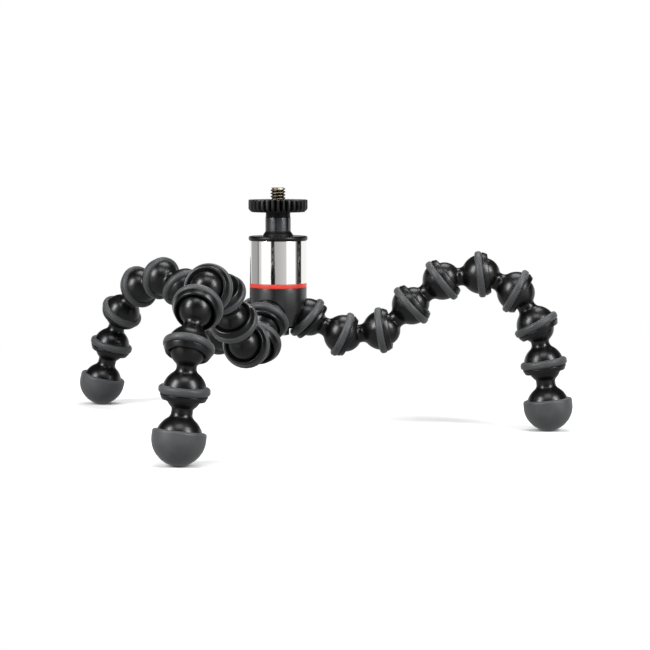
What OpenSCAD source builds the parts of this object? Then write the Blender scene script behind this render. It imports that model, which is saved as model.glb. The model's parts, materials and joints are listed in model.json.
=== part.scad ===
// Small tabletop tripod with three flexible legs and a ball head.
// Each leg is a chain of ball joints that hold the shape they are bent to.
// The origin is the centre of the seat that the camera rests on, +Z is up, in millimetres.

/* [Stance] */
// Height of the camera seat above the floor
stand_height = 96; // [88:0.5:104]
// Radius of the circle that the three hub sockets lie on
socket_circle_r = 13.2; // [12.6:0.1:16]
// How far the axis of a hub socket points below level, in degrees
socket_droop = 42; // [36:1:48]
// Depth of the hub socket centres below the hub's top face
socket_drop = 13.7; // [13:0.1:15]

/* [Leg links] */
// Radius of the ball at the start of a link
ball_r = 6.75; // [6.4:0.05:6.8]
// Radial clearance between a ball and its socket
ball_clear = 0.12; // [0.08:0.01:0.2]
// Radius of the waist between ball and cup
neck_r = 3.75; // [3:0.05:4.2]
// Distance between ball and cup along the waist
waist_gap = 0.45; // [0.3:0.05:3]
// Blend radius where the waist meets the ball
ball_fillet = 1.3; // [0.6:0.1:1.4]
// Blend radius where the waist meets the cup
cup_fillet = 2.5; // [1.5:0.1:2.6]
// Wall of the round back of a cup around its socket
cup_wall = 1.43; // [1.3:0.01:2]
// How far the round back of a cup is centred behind the ball centre
cup_back = 1; // [0.6:0.1:1.4]
// Wall of the smooth lip around the mouth of a cup
lip_wall = 1.88; // [1.6:0.01:2.2]
// Where the lip ends, measured past the ball centre
lip_end = 2.4; // [2.3:0.05:2.7]
// Where the socket sphere ends and the mouth starts to widen
mouth_start = 1.7; // [1.5:0.05:2]
// Edge radius of the lip
lip_edge = 0.8; // [0.4:0.1:0.9]

/* [Grip rings] */
// Thickness of a grip ring outward from its seat
ring_t = 2.05; // [1.7:0.05:2.5]
// Width of a grip ring along the leg
ring_w = 3.1; // [2.7:0.1:3.2]
// How far a grip ring is centred behind the ball centre
ring_back = 1.4; // [1.2:0.1:1.6]
// Wall of a cup under the seat of its grip ring
seat_wall = 0.73; // [0.6:0.01:0.9]
// Radius of the round outer edges of a grip ring
ring_edge = 1.3; // [0.8:0.1:1.3]
// Clearance between a grip ring and its cup
ring_clear = 0.05; // [0.03:0.01:0.1]

/* [Feet] */
// Distance between the last ball and the foot along the waist
foot_gap = 0.95; // [0.4:0.05:4]
// Radius of the waist above the foot
foot_neck_r = 4; // [3.2:0.1:4.2]
// Outer radius of the rubber boot
boot_r = 10.2; // [9.6:0.1:11]
// Wall of the rubber boot
boot_wall = 1.27; // [0.9:0.01:1.6]
// Height of the boot's rim above the centre of the foot
boot_rim = 3; // [2:0.1:4]
// Edge radius of the boot's rim
boot_edge = 0.4; // [0.2:0.1:0.6]
// Clearance between the foot and its boot
boot_clear = 0.03; // [0.02:0.01:0.1]

/* [Hub] */
// Outer radius of the hub, of the red band on it and of the polished sleeve
hub_r = 11.9; // [11.3:0.1:12.3]
// Thickness of the hub's top wall
hub_wall = 2; // [1.5:0.1:3]
// Length of the hub's straight side
hub_side = 8.5; // [6:0.1:10]
// Depth of the hub's three prongs below its top face
hub_h = 16; // [14:0.1:17]
// Radius of the hub at the tips of its prongs
prong_r = 8.6; // [7.5:0.1:9.5]
// Radius of the boss in the middle of the socket core
boss_r = 6.5; // [6:0.1:7]
// Gap between a cup of the socket core and the hub around it
scallop_gap = 0.2; // [0.1:0.05:0.4]
// Gap between a grip ring and the hub around it
ring_gap = 0.5; // [0.3:0.1:0.8]
// Height of the red band
band_h = 1.7; // [1.2:0.1:2.4]

/* [Head] */
// Length of the polished sleeve
sleeve_h = 17.74; // [17:0.02:20]
// Wall of the sleeve
sleeve_wall = 1.2; // [0.8:0.1:1.6]
// Thickness of the sleeve's floor
sleeve_floor = 2; // [1.5:0.1:3]
// How far the collar on top of the sleeve stands out past it
collar_over = 0.4; // [0.2:0.1:0.8]
// Thickness of the collar
collar_t = 1.9; // [1.5:0.1:2.4]
// Edge radius of the collar
collar_edge = 0.6; // [0.2:0.1:0.8]
// Gap between the collar and the wheel when the wheel is tipped down
tip_gap = 0.7; // [0.5:0.05:2]
// Length of the collar's spigot inside the sleeve
spigot_len = 3; // [2.4:0.1:3.4]
// Radius of the head's ball
head_ball_r = 7.2; // [6.9:0.05:7.4]
// Depth of the ball's centre below the collar's top
head_ball_depth = 3.1; // [2.8:0.1:3.4]
// Radial clearance around the head's ball
head_clear = 0.12; // [0.08:0.01:0.2]
// Radius of the stem on the ball
stem_r = 5.3; // [4.8:0.1:5.4]
// Blend radius where the stem meets the ball
stem_fillet = 0.5; // [0.2:0.1:0.6]
// How far the neck under the wheel is set in from the stem
stem_neck_step = 0.2; // [0.1:0.05:0.6]
// Length of the neck under the wheel
stem_neck_len = 2; // [1.5:0.1:2.5]
// Clearance around the stem where it drops into the notch
notch_clear = 0.6; // [0.5:0.05:1]
// Height of the seat under the ball
seat_h = 7; // [6:0.1:7.5]
// Clearance between pieces that are pressed together inside the head
press_clear = 0.05; // [0.02:0.01:0.1]
// Radius of the pan bolt's shank
pan_shank_r = 2.5; // [2.2:0.1:2.6]
// Radius of the pan bolt's head
pan_head_r = 5.5; // [5:0.1:6]
// Height of the pan bolt's head
pan_head_h = 3; // [2.5:0.1:3.5]
// Running clearance of the turning pieces
run_clear = 0.06; // [0.03:0.01:0.1]
// Width across the flats of the hub nut
nut_flats = 8; // [7:0.1:8.4]
// Height of the hub nut
nut_h = 3; // [2.5:0.1:4]

/* [Wheel and screw] */
// Outer radius of the knurled wheel
wheel_r = 12.3; // [11.9:0.1:12.7]
// Height of the knurled wheel
wheel_h = 5.2; // [4.8:0.1:5.6]
// Bevel on the wheel's lower edge
wheel_bevel = 1.2; // [0.8:0.1:1.6]
// Edge radius on the wheel's upper edge
wheel_edge = 0.4; // [0.2:0.1:0.6]
// Number of grooves around the wheel
wheel_grooves = 32; // [24:1:40]
// Radius of a groove in the wheel
groove_r = 0.75; // [0.3:0.05:0.9]
// Radius of the camera screw
screw_r = 3.175; // [3.1:0.005:3.2]
// Height of the camera screw above the seat
screw_h = 5; // [4.5:0.1:5.5]
// How far the screw's plain shank in the wheel and stem is set in
shank_step = 0.275; // [0.2:0.005:0.6]
// Width of the sunk gap around the screw in the wheel's top
sink_gap = 0.3; // [0.2:0.05:0.6]
// Depth of the sunk gap around the screw in the wheel's top
sink_depth = 0.5; // [0.3:0.1:1]
// Chamfer on the tip of the camera screw
screw_tip = 0.6; // [0.3:0.1:0.9]
// Depth of the screw's shank in the stem
screw_depth = 5; // [4:0.1:6]

/* [Hidden] */
$fn = 96;
eps = 0.01;
// How far a blend reaches into the two faces that it joins.
blend_bite = 0.02;
joint_count = 9;
link_count = joint_count - 1;
loose_rings = 6;
leg_names = ["right", "rear", "front"];
leg_turn = 360 / len(leg_names);

// Bends of each leg in degrees at its second to last ball joints, upward positive.
leg_bends = [
    [34, 34, -4, -32, -35, -33, -19, -4],
    [34, 31, 4, -27, -29, -31, -24, -4],
    [35, 34, 4, -34, -35, -35, -30, 7]
];
// Turns of each leg's bends about the cup they sit in, in degrees, at all its ball joints.
leg_turns = [
    [12, 4, -14, 0, 0, 0, 0, 0, 0],
    [0, -6, 6, 0, 0, 8, 0, 0, 0],
    [-40, 40, 0, 0, 0, 0, -13, 0, 0]
];

socket_r = ball_r + ball_clear;
cup_r = socket_r + cup_wall;
lip_r = socket_r + lip_wall;
ring_seat_r = socket_r + seat_wall;
ring_r = ring_seat_r + ring_clear + ring_t;
link_pitch = ball_r + waist_gap + cup_r + cup_back;
foot_r = boot_r - boot_wall - boot_clear;
foot_pitch = ball_r + foot_gap + foot_r;
ring_front = -ring_back + ring_w / 2;
ring_rear = -ring_back - ring_w / 2;
head_socket_r = head_ball_r + head_clear;
collar_r = hub_r + collar_over;
ball_z = -wheel_h - collar_r - tip_gap;
collar_z = ball_z + head_ball_depth;
sleeve_top = collar_z - collar_t;
sleeve_bottom = sleeve_top - sleeve_h;
band_top = sleeve_bottom - run_clear;
hub_top = band_top - band_h;
sleeve_bore = hub_r - sleeve_wall;
spigot_r = sleeve_bore - press_clear;
seat_top = sleeve_top - spigot_len - press_clear;
seat_bottom = seat_top - seat_h;
floor_top = sleeve_bottom + sleeve_floor;
notch_r = stem_r + notch_clear;
stem_neck_r = stem_r - stem_neck_step;
socket_z = hub_top - socket_drop;
core_top = hub_top - hub_wall - press_clear;
core_bottom = socket_z - boss_r / 2;
shank_r = screw_r - shank_step;
shank_bore = shank_r + run_clear;
floor_z = -stand_height;
foot_z = floor_z + boot_r;

function move(v) = [[1, 0, 0, v.x], [0, 1, 0, v.y], [0, 0, 1, v.z], [0, 0, 0, 1]];
function about_y(a) = [[cos(a), 0, sin(a), 0], [0, 1, 0, 0], [-sin(a), 0, cos(a), 0], [0, 0, 0, 1]];
function about_z(a) = [[cos(a), -sin(a), 0, 0], [sin(a), cos(a), 0, 0], [0, 0, 1, 0], [0, 0, 0, 1]];

// Frame of a hub socket: +Z runs out along its axis, +X is the upward bend.
function hub_socket(leg) =
    about_z(leg * leg_turn) * move([socket_circle_r, 0, socket_z])
    * about_y(90 + socket_droop) * about_z(180);

// Step from the frame of one link to the frame of the next, through joint number j.
function joint_step(leg, j) = move([0, 0, link_pitch])
    * about_z(leg_turns[leg][j - 1]) * about_y(leg_bends[leg][j - 2]);

// Frame of link j seen from the first link of its leg.
function chain(leg, j) = j == 1 ? move([0, 0, 0]) : chain(leg, j - 1) * joint_step(leg, j);

// Bend of the first joint that sets the foot down on the floor.
function first_bend(leg) =
    let (
        foot = chain(leg, joint_count) * [0, 0, foot_pitch, 1],
        base = hub_socket(leg) * about_z(leg_turns[leg][0]),
        up = base[2],
        across = up.x * foot.x + up.z * foot.z,
        along = up.x * foot.z - up.z * foot.x,
        rise = foot_z - up[3] - up.y * foot.y
    )
    atan2(along, across) - acos(rise / norm([across, along]));

// Frame of link j of a leg, with its ball centre at the origin and its waist along +Z.
function link_frame(leg, j) =
    hub_socket(leg) * about_z(leg_turns[leg][0]) * about_y(first_bend(leg)) * chain(leg, j);

// Frame of the cup that holds ball j of a leg.
function cup_frame(leg, j) =
    j == 1 ? hub_socket(leg) : link_frame(leg, j - 1) * move([0, 0, link_pitch]);

function link_name(leg, j) = str(leg_names[leg], "_link_", j);
function ring_name(leg, j) = str(leg_names[leg], "_ring_", j);
function foot_name(leg) = str(leg_names[leg], "_foot");
function boot_name(leg) = str(leg_names[leg], "_boot");

legs = [0 : len(leg_names) - 1];

// Half of a disc, to be turned about its flat side.
module half_disc(r) {
    intersection() {
        circle(r);
        translate([0, -r]) square([r, 2 * r]);
    }
}

// Outline of the blend between a ball at the origin and a straight waist that leaves it upward.
module waist_blend(from_r, waist_r, blend_r) {
    side = waist_r + blend_r - blend_bite;
    reach = sqrt(pow(from_r + blend_r - blend_bite, 2) - pow(side, 2));
    difference() {
        polygon([[0, 0], [side, reach], [0, reach]]);
        translate([side, reach]) circle(blend_r);
    }
}

// Outline of the outside of a cup around the ball centre at the origin, open upward.
module cup_outline() {
    lip_start = ring_front + ring_clear;
    back_end = ring_rear - ring_clear;
    difference() {
        translate([0, -cup_back]) half_disc(cup_r);
        translate([0, back_end]) square(2 * cup_r);
    }
    translate([0, back_end - eps]) square([ring_seat_r, lip_start - back_end + 2 * eps]);
    translate([0, lip_start]) square([lip_r - lip_edge, lip_end - lip_start]);
    translate([0, lip_start + lip_edge]) square([lip_r, lip_end - lip_start - 2 * lip_edge]);
    for (z = [lip_start + lip_edge, lip_end - lip_edge])
        translate([lip_r - lip_edge, z]) circle(lip_edge);
}

// Outline of the hollow of a cup with its widening mouth.
module cup_hollow() {
    mouth_r = sqrt(pow(socket_r, 2) - pow(mouth_start, 2));
    past = lip_end + eps;
    half_disc(socket_r);
    polygon([[0, 0], [mouth_r - mouth_start, 0], [mouth_r - mouth_start + past, past], [0, past]]);
}

// Grip ring around a cup whose ball centre is the origin.
module grip_ring() {
    inner_r = ring_seat_r + ring_clear;
    flat_r = ring_r - ring_edge;
    color("dimgray") translate([0, 0, -ring_back]) rotate_extrude() difference() {
        union() {
            translate([0, -ring_w / 2]) square([flat_r, ring_w]);
            translate([0, ring_edge - ring_w / 2]) square([ring_r, ring_w - 2 * ring_edge]);
            for (side = [-1, 1])
                translate([flat_r, side * (ring_w / 2 - ring_edge)]) circle(ring_edge);
        }
        translate([-ring_r, -ring_w]) square([ring_r + inner_r, 2 * ring_w]);
    }
}

// One link: its ball at the origin, its waist, and the cup for the next ball.
module link() {
    cup_z = link_pitch - cup_back;
    color("black") rotate_extrude() difference() {
        union() {
            half_disc(ball_r);
            square([neck_r, cup_z]);
            waist_blend(ball_r, neck_r, ball_fillet);
            translate([0, cup_z]) mirror([0, 1]) waist_blend(cup_r, neck_r, cup_fillet);
            translate([0, link_pitch]) cup_outline();
        }
        translate([0, link_pitch]) cup_hollow();
    }
}

// Last piece of a leg: its ball at the origin and the foot that the boot covers.
module foot() {
    color("black") rotate_extrude() {
        half_disc(ball_r);
        square([foot_neck_r, foot_pitch]);
        waist_blend(ball_r, foot_neck_r, ball_fillet);
        translate([0, foot_pitch]) half_disc(foot_r);
        translate([0, foot_pitch]) mirror([0, 1]) waist_blend(foot_r, foot_neck_r, cup_fillet);
    }
}

// Rubber boot over the foot.
module boot() {
    color("dimgray") translate([0, 0, foot_pitch]) rotate_extrude() difference() {
        union() {
            half_disc(boot_r);
            translate([0, boot_edge - boot_rim]) square([boot_r, boot_rim - boot_edge]);
            translate([0, -boot_rim]) square([boot_r - boot_edge, boot_rim]);
            translate([boot_r - boot_edge, boot_edge - boot_rim]) circle(boot_edge);
        }
        circle(foot_r + boot_clear);
        translate([0, -boot_rim - boot_r]) square([boot_r, boot_r]);
    }
}

// Places children in each of the three hub sockets.
module at_sockets() {
    for (leg = legs)
        multmatrix(hub_socket(leg)) children();
}

// Hole for the pan bolt through the pieces it holds together.
module bolt_hole() {
    translate([0, 0, -stand_height]) cylinder(r = pan_shank_r + run_clear, h = stand_height);
}

module hub_shell() {
    color("dimgray") difference() {
        translate([0, 0, hub_top]) rotate_extrude() difference() {
            polygon([[0, 0], [hub_r, 0], [hub_r, -hub_side], [prong_r, -hub_h], [0, -hub_h]]);
            translate([0, -hub_wall - hub_h]) square([boss_r + press_clear, hub_h]);
            translate([0, -hub_h]) square([pan_shank_r + run_clear, 2 * hub_h]);
        }
        at_sockets() {
            translate([0, 0, -cup_back]) hull() sphere(cup_r + scallop_gap, $fn = 36);
            translate([0, 0, ring_rear - ring_gap]) cylinder(r = ring_r + ring_gap, h = 2 * ring_r);
        }
    }
}

module socket_core() {
    color("black") difference() {
        union() {
            translate([0, 0, core_bottom]) cylinder(r = boss_r, h = core_top - core_bottom);
            at_sockets() rotate_extrude() cup_outline();
        }
        bolt_hole();
        at_sockets() {
            rotate_extrude() cup_hollow();
            translate([0, 0, lip_end]) cylinder(r = lip_r, h = 2 * lip_r);
        }
    }
}

module red_band() {
    color("red") translate([0, 0, hub_top]) difference() {
        cylinder(r = hub_r, h = band_h);
        translate([0, 0, -eps]) cylinder(r = pan_shank_r + run_clear, h = band_h + 2 * eps);
    }
}

module pan_bolt() {
    head_z = floor_top + run_clear;
    color("silver") {
        translate([0, 0, head_z]) cylinder(r = pan_head_r, h = pan_head_h);
        translate([0, 0, core_bottom - nut_h]) cylinder(r = pan_shank_r, h = head_z - core_bottom + nut_h);
    }
}

module hub_nut() {
    color("silver") translate([0, 0, core_bottom - nut_h]) difference() {
        cylinder(r = nut_flats / 2 / cos(30), h = nut_h, $fn = 6);
        translate([0, 0, -eps]) cylinder(r = pan_shank_r + press_clear, h = nut_h + 2 * eps);
    }
}

// Slot at the back of the head that the stem drops into.
module notch() {
    translate([0, 0, ball_z]) {
        rotate([-90, 0, 0]) cylinder(r = notch_r, h = 2 * collar_r);
        translate([-notch_r, 0, 0]) cube([2 * notch_r, 2 * collar_r, head_ball_depth + collar_t]);
    }
}

module head_sleeve() {
    color("silver") difference() {
        translate([0, 0, sleeve_bottom]) cylinder(r = hub_r, h = sleeve_h);
        translate([0, 0, floor_top]) cylinder(r = sleeve_bore, h = sleeve_top - floor_top + eps);
        bolt_hole();
        notch();
    }
}

module head_collar() {
    color("black") difference() {
        union() {
            rotate_extrude() {
                translate([0, sleeve_top]) square([collar_r - collar_edge, collar_t]);
                translate([0, sleeve_top + collar_edge]) square([collar_r, collar_t - 2 * collar_edge]);
                for (z = [sleeve_top + collar_edge, collar_z - collar_edge])
                    translate([collar_r - collar_edge, z]) circle(collar_edge);
            }
            translate([0, 0, sleeve_top - spigot_len]) cylinder(r = spigot_r, h = spigot_len + eps);
        }
        translate([0, 0, ball_z]) sphere(head_socket_r);
        translate([0, 0, ball_z - spigot_len]) cylinder(r = head_socket_r, h = spigot_len);
        notch();
    }
}

module ball_seat() {
    color("white") difference() {
        translate([0, 0, seat_bottom]) cylinder(r = spigot_r, h = seat_h);
        translate([0, 0, ball_z]) sphere(head_socket_r);
        notch();
    }
}

module seat_pad() {
    pad_top = seat_bottom - press_clear;
    pad_bottom = floor_top + press_clear;
    color("dimgray") translate([0, 0, pad_bottom]) difference() {
        cylinder(r = spigot_r, h = pad_top - pad_bottom);
        translate([0, 0, -eps]) cylinder(r = pan_head_r + notch_clear, h = pad_top - pad_bottom + 2 * eps);
    }
}

module ball_stem() {
    stem_top = -wheel_h - run_clear;
    shoulder = stem_top - stem_neck_len;
    bore_end = stem_top - screw_depth - run_clear;
    color("dimgray") rotate_extrude() difference() {
        union() {
            translate([0, ball_z]) half_disc(head_ball_r);
            translate([0, ball_z]) waist_blend(head_ball_r, stem_r, stem_fillet);
            translate([0, ball_z]) square([stem_r, shoulder - ball_z]);
            translate([0, shoulder - eps]) square([stem_neck_r, stem_neck_len + eps]);
        }
        translate([0, bore_end]) square([shank_bore, stem_top - bore_end + eps]);
    }
}

module lock_wheel() {
    color("black") difference() {
        rotate_extrude() {
            polygon([[0, -wheel_h], [wheel_r - wheel_bevel, -wheel_h], [wheel_r, wheel_bevel - wheel_h],
                [wheel_r, -wheel_edge], [wheel_r - wheel_edge, 0], [0, 0]]);
            translate([wheel_r - wheel_edge, -wheel_edge]) circle(wheel_edge);
        }
        for (i = [1 : wheel_grooves])
            rotate(i * 360 / wheel_grooves) translate([wheel_r, 0, -wheel_h - eps])
                cylinder(r = groove_r, h = wheel_h + 2 * eps);
        translate([0, 0, -wheel_h - eps]) cylinder(r = shank_r + press_clear, h = wheel_h + 2 * eps);
        translate([0, 0, -sink_depth]) cylinder(r = screw_r + sink_gap, h = sink_depth + eps);
    }
}

module camera_screw() {
    shank = wheel_h + run_clear + screw_depth;
    thread_h = screw_h - screw_tip;
    color("silver") {
        translate([0, 0, -shank]) cylinder(r = shank_r, h = shank + thread_h);
        cylinder(r = screw_r, h = thread_h);
        translate([0, 0, thread_h]) cylinder(r1 = screw_r, r2 = screw_r - screw_tip, h = screw_tip);
    }
}

hub_shell();
socket_core();
red_band();
pan_bolt();
hub_nut();
head_sleeve();
head_collar();
ball_seat();
seat_pad();
ball_stem();
lock_wheel();
camera_screw();
for (leg = legs) {
    for (j = [1 : link_count])
        multmatrix(link_frame(leg, j)) {
            link();
            // The outer links carry their grip ring in their own node.
            if (j + 1 > loose_rings) translate([0, 0, link_pitch]) grip_ring();
        }
    for (j = [1 : loose_rings])
        multmatrix(cup_frame(leg, j)) grip_ring();
    multmatrix(link_frame(leg, joint_count)) foot();
    multmatrix(link_frame(leg, joint_count)) boot();
}
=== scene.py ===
"""Looks of a small tabletop tripod with flexible ball-jointed legs and a ball head."""

import sys
import json
import logging
import math
from dataclasses import dataclass, field
from enum import Enum

import bpy
from mathutils import Matrix, Vector


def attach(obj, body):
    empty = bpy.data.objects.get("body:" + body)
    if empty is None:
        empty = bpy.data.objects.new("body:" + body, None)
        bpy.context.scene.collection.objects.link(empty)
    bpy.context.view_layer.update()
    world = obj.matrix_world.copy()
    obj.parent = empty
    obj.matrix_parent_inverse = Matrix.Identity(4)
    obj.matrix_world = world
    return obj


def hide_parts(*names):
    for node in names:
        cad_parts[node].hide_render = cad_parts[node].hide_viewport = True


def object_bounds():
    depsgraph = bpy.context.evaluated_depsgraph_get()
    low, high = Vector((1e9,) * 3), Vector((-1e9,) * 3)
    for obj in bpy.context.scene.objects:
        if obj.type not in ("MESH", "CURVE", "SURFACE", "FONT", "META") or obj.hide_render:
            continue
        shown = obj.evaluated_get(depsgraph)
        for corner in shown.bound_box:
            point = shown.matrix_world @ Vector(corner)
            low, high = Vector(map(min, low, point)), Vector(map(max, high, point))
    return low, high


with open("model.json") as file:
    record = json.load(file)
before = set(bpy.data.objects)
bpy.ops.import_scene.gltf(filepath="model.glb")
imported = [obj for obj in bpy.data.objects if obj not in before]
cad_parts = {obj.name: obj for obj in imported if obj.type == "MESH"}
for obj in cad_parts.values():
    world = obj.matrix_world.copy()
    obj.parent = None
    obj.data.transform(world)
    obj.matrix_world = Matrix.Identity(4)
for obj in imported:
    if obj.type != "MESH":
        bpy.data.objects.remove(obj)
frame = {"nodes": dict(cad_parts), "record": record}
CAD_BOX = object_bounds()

Piece = bpy.types.Object
Node = bpy.types.Node
Socket = bpy.types.NodeSocket
Point = tuple[float, float]
Triple = tuple[float, float, float]

# Lengths in millimetres and angles in degrees, apart from MM itself.
MM = 0.001
SAME_POINT = 0.0001
DOUBLED_POINT = 0.002
SHARP_ANGLE = 35.0
SMOOTH_ANGLE = 32.0
WHITE = (1, 1, 1, 1)

log = logging.getLogger("tripod")


class Cut(Enum):
    """How one solid is combined with another."""

    AWAY = "DIFFERENCE"
    COMMON = "INTERSECT"
    JOIN = "UNION"


class LegName(Enum):
    """The three legs, named for where they stand."""

    RIGHT = "right"
    REAR = "rear"
    FRONT = "front"


class Effect(Enum):
    """Surface effects that several finishes share."""

    GRAIN = "surface_grain"
    MARKS = "handling_marks"
    DUST = "settled_dust"


@dataclass
class Outline:
    """Section of a piece as points of radius and height, in millimetres."""

    points: list[Point] = field(default_factory=list)

    def line(self, *points: Point) -> "Outline":
        """Goes straight to each of the points.

        Args:
            points: Radius and height of each point.

        Returns:
            This outline, for the next step.
        """
        for point in points:
            if not self.points or math.dist(point, self.points[-1]) > SAME_POINT:
                self.points.append(point)
        return self

    def arc(self, centre: Point, radius: float, start: float, end: float, steps: int) -> "Outline":
        """Follows part of a circle.

        Args:
            centre: Radius and height of the circle's centre.
            radius: Radius of the circle.
            start: First angle in degrees, from the outward direction toward the upward one.
            end: Last angle in degrees.
            steps: Number of straight steps along the way.

        Returns:
            This outline, for the next step.
        """
        for i in range(steps + 1):
            angle = math.radians(start + (end - start) * i / steps)
            out = max(centre[0] + radius * math.cos(angle), 0.0)
            self.line((out, centre[1] + radius * math.sin(angle)))
        return self

    def closed(self) -> "Outline":
        """Goes back to the first point."""
        self.points.append(self.points[0])
        return self


def blend_place(ball_r: float, neck_r: float, fillet: float) -> Triple:
    """Finds the circle that blends a ball into its neck.

    Args:
        ball_r: Radius of the ball.
        neck_r: Radius of the neck.
        fillet: Radius of the blend.

    Returns:
        Radius and height of the circle's centre, seen from the ball's, and its angle in degrees.
    """
    side = neck_r + fillet
    reach = math.sqrt((ball_r + fillet) ** 2 - side**2)
    return side, reach, math.degrees(math.atan2(reach, side))


class Bench:
    """Modelling steps on one piece at a time."""

    @staticmethod
    def clear() -> None:
        """Leaves edit mode and selects nothing."""
        if bpy.context.mode != "OBJECT":
            bpy.ops.object.mode_set(mode="OBJECT")
        bpy.ops.object.select_all(action="DESELECT")

    @staticmethod
    def alone(piece: Piece) -> None:
        """Makes a piece the only selected object."""
        Bench.clear()
        piece.select_set(True)
        bpy.context.view_layer.objects.active = piece

    @staticmethod
    def edit(piece: Piece) -> None:
        """Opens a piece in edit mode with all of it selected."""
        Bench.alone(piece)
        bpy.ops.object.mode_set(mode="EDIT")
        bpy.ops.mesh.select_all(action="SELECT")

    @staticmethod
    def draw(name: str, points: list[Point]) -> Piece:
        """Draws a chain of edges in the upright plane and stays in edit mode.

        Args:
            name: Name of the new piece.
            points: Radius and height of each point, in millimetres.

        Returns:
            The new piece, with all its points selected.
        """
        Bench.clear()
        bpy.ops.mesh.primitive_plane_add(size=MM)
        piece = bpy.context.object
        piece.name = name
        piece.data.name = name
        Bench.edit(piece)
        bpy.ops.mesh.merge(type="CENTER")
        last = (0.0, 0.0)
        for i, point in enumerate(points):
            step = ((point[0] - last[0]) * MM, 0.0, (point[1] - last[1]) * MM)
            if i == 0:
                bpy.ops.transform.translate(value=step)
            else:
                bpy.ops.mesh.extrude_region_move(TRANSFORM_OT_translate={"value": step})
            last = point
        bpy.ops.mesh.select_all(action="SELECT")
        return piece

    @staticmethod
    def close() -> None:
        """Merges doubled points, turns the faces outward and leaves edit mode."""
        bpy.ops.mesh.select_all(action="SELECT")
        bpy.ops.mesh.remove_doubles(threshold=DOUBLED_POINT * MM)
        bpy.ops.mesh.normals_make_consistent(inside=False)
        bpy.ops.object.mode_set(mode="OBJECT")

    @staticmethod
    def turn(name: str, outline: Outline, steps: int) -> Piece:
        """Turns an outline about the upright axis into a closed piece.

        Args:
            name: Name of the new piece.
            outline: Closed section, or one that starts and ends on the axis.
            steps: Number of faces around.

        Returns:
            The new piece, in object mode.
        """
        piece = Bench.draw(name, outline.points)
        bpy.ops.mesh.spin(steps=steps, angle=2 * math.pi, center=(0, 0, 0), axis=(0, 0, 1))
        Bench.close()
        return piece

    @staticmethod
    def plate(name: str, outline: Outline, depth: float) -> Piece:
        """Fills a closed outline and pushes it back along +Y.

        Args:
            name: Name of the new piece.
            outline: Across and up for each corner, in millimetres.
            depth: Depth in millimetres.

        Returns:
            The new piece, in object mode.
        """
        piece = Bench.draw(name, outline.points)
        bpy.ops.mesh.edge_face_add()
        bpy.ops.mesh.extrude_region_move(TRANSFORM_OT_translate={"value": (0, depth * MM, 0)})
        Bench.close()
        return piece

    @staticmethod
    def modify(piece: Piece, kind: str, **settings: object) -> None:
        """Adds a modifier to a piece, fills in its settings and applies it.

        Args:
            piece: The piece.
            kind: Blender's name of the modifier type.
            settings: Values by Blender's names of the settings.
        """
        Bench.alone(piece)
        bpy.ops.object.modifier_add(type=kind)
        modifier = piece.modifiers[-1]
        for name, value in settings.items():
            setattr(modifier, name, value)
        bpy.ops.object.modifier_apply(modifier=modifier.name)

    @staticmethod
    def combine(piece: Piece, tool: Piece, cut: Cut) -> None:
        """Combines a piece with another solid and throws that solid away.

        Args:
            piece: The piece that is kept.
            tool: The other solid.
            cut: How the two are combined.
        """
        Bench.modify(piece, "BOOLEAN", object=tool, operation=cut.value, solver="EXACT")
        bpy.data.objects.remove(tool)

    @staticmethod
    def weld(piece: Piece, size: float) -> None:
        """Merges points of a piece that lie closer than a size in millimetres."""
        Bench.edit(piece)
        bpy.ops.mesh.remove_doubles(threshold=size * MM)
        bpy.ops.object.mode_set(mode="OBJECT")

    @staticmethod
    def smooth(piece: Piece, angle: float = SMOOTH_ANGLE) -> None:
        """Shades a piece smooth up to an angle in degrees."""
        Bench.alone(piece)
        bpy.ops.object.shade_smooth_by_angle(angle=math.radians(angle))

    @staticmethod
    def soften(piece: Piece, width: float, clamp: bool = False) -> None:
        """Shades a piece smooth and rounds its sharp edges without bending the faces beside them.

        Args:
            piece: The piece.
            width: Width of the rounding in millimetres.
            clamp: Whether the rounding is kept from overlapping itself.
        """
        Bench.smooth(piece)
        Bench.modify(
            piece,
            "BEVEL",
            width=width * MM,
            segments=2,
            limit_method="ANGLE",
            angle_limit=math.radians(SHARP_ANGLE),
            use_clamp_overlap=clamp,
            harden_normals=True,
        )

    @staticmethod
    def move(piece: Piece, place: Matrix) -> None:
        """Moves a piece and leaves its place in its mesh."""
        Bench.alone(piece)
        piece.matrix_world = place
        bpy.ops.object.transform_apply(location=True, rotation=True, scale=True)

    @staticmethod
    def copy(pattern: Piece, name: str, place: Matrix) -> Piece:
        """Copies a pattern with its own mesh.

        Args:
            pattern: The piece that is copied.
            name: Name of the copy.
            place: Where the copy goes.

        Returns:
            The copy.
        """
        piece = pattern.copy()
        piece.data = pattern.data.copy()
        piece.name = name
        piece.data.name = name
        bpy.context.scene.collection.objects.link(piece)
        Bench.move(piece, place)
        return piece


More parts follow.
